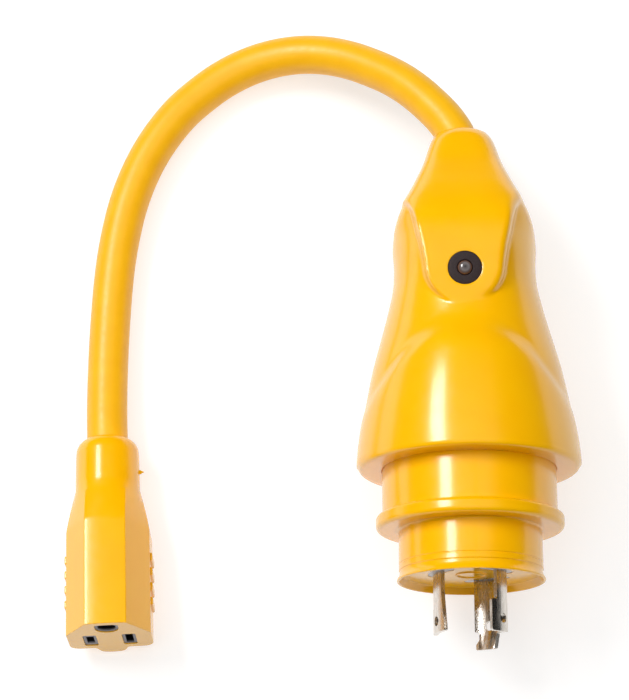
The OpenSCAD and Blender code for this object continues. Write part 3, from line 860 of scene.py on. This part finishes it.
def collar_ring(radius, z):
    """A round ring of the collar, its points at the angles of the face outline's."""
    half = face_half(0)
    angles = [a for *_, a in half] + [180 - a for *_, a in reversed(half[1:-1])]
    return [(radius * math.cos(math.radians(a)), COLLAR_MID + radius * math.sin(math.radians(a)), z) for a in angles]


def keel(z):
    """Depth of the keel, which runs out towards the collar."""
    return max(0.0, KEEL * (1 + z / KEEL_LEN))


def make_connector():
    rings = [face_ring(z, keel(z)) for z in (0, -8, -16, -24, -PRISM)]
    for t in (0.12, 0.28, 0.46, 0.64, 0.82, 1.0):
        z = -PRISM - (TAPER_END - PRISM) * t
        rings.append(face_ring(z, keel(z), t**1.2))
    profile = [
        (10.65, -51.5), (10.6, -56), (10.55, -62), (10.35, -63.9), (9.7, -65.4), (8.6, -66.5), (7.3, -67),
        (6.85, -66.8), (6.8, -66), (6.8, -45),
    ]
    rings += [collar_ring(radius, z) for radius, z in profile]
    piece = drawn("connector_shell", rings)
    eased(piece, 0.55, 24, 3)
    core = drawn("core", [face_ring(z, 0, 0, BODY_WALL) for z in (-1.0, -22)])
    combined(piece, core, "DIFFERENCE")
    for side in (-1, 1):
        for i in range(RIBS):
            top = -9.7 - RIB_PITCH * i
            low, high = (side * HALF_W - 0.7, -4.1, top - 2.8), (side * HALF_W + 0.72, 4.9, top)
            combined(piece, box("rib", low, high, 0.5, 3), "UNION")
    nib = turned("nib", [(0, 0), (0.95, 0), (0.7, 0.9), (0.3, 1.5), (0.12, 2.0), (0, 2.05)], 16)
    nib.data.transform(Matrix.Translation((10.1, COLLAR_MID + 0.6, -55.7)) @ Matrix.Rotation(math.pi / 2, 4, "Y"))
    combined(piece, nib, "UNION")
    for cutter in window_blocks(0.0, -1.6, 1):
        combined(piece, cutter, "DIFFERENCE")
    return settle(piece, CONNECTOR, "yellow_vinyl", "connector_body", smooth=24)


def socket_outline(half_w, top, bottom):
    """The round-bottomed, flat-topped outline of the ground window and hole."""
    right = [(half_w, top - 0.8), (half_w, 0)]
    lower = [(half_w * math.cos(t), bottom * math.sin(-t)) for t in np.linspace(0.2, math.pi / 2, 9)]
    points = [(half_w - 0.8, top), *right, *lower]
    points += [(-x, y) for x, y in reversed(points[:-1])]
    return [(x, y + GROUND_UP) for x, y in points]


def window_blocks(shrink, low, high):
    """The three windows in the face, or the pads that fill them when shrunk."""
    blocks = []
    for side in (-1, 1):
        w, h = 2.2 - shrink, 5.4 - shrink
        mid = side * PITCH / 2
        corners = [(mid - w, -h), (mid + w, -h), (mid + w, h), (mid - w, h)]
        blocks.append(slab("window", rounded(corners, 0.9), low, high))
    blocks.append(slab("window", socket_outline(3.8 - shrink, 3.8 - shrink, 3.9 - shrink), low, high))
    return blocks


def make_contact_carrier():
    piece = drawn("contact_carrier_block", [face_ring(z, 0, 0, BODY_WALL + 0.15) for z in (-1.1, -21.9)])
    for pad in window_blocks(0.06, -3, -0.35):
        combined(piece, pad, "UNION")
    for side, height in ((-1, 6.6), (1, 8.8)):
        mid, w, h = side * PITCH / 2, 1.25, height / 2
        slot = slab("slot", rounded([(mid - w, -h), (mid + w, -h), (mid + w, h), (mid - w, h)], 0.25), -19, 2)
        combined(piece, slot, "DIFFERENCE")
    hole = slab("hole", socket_outline(2.9, 2.6, 2.7), -19, 2)
    combined(piece, hole, "DIFFERENCE")
    settle(piece, CONNECTOR, "grey_plastic", "contact_carrier")
    piece.data.materials[0] = LOOKS["socket_plastic"]


make_connector()
make_contact_carrier()

# --- the CAD nodes that stay -------------------------------------------------------------------------------------

slots = {part["node"]: part["material_slot"] for part in frame["record"]["subparts"]}
for name, piece in frame["nodes"].items():
    piece.data.materials.clear()
    piece.data.materials.append(LOOKS[slots[name]])
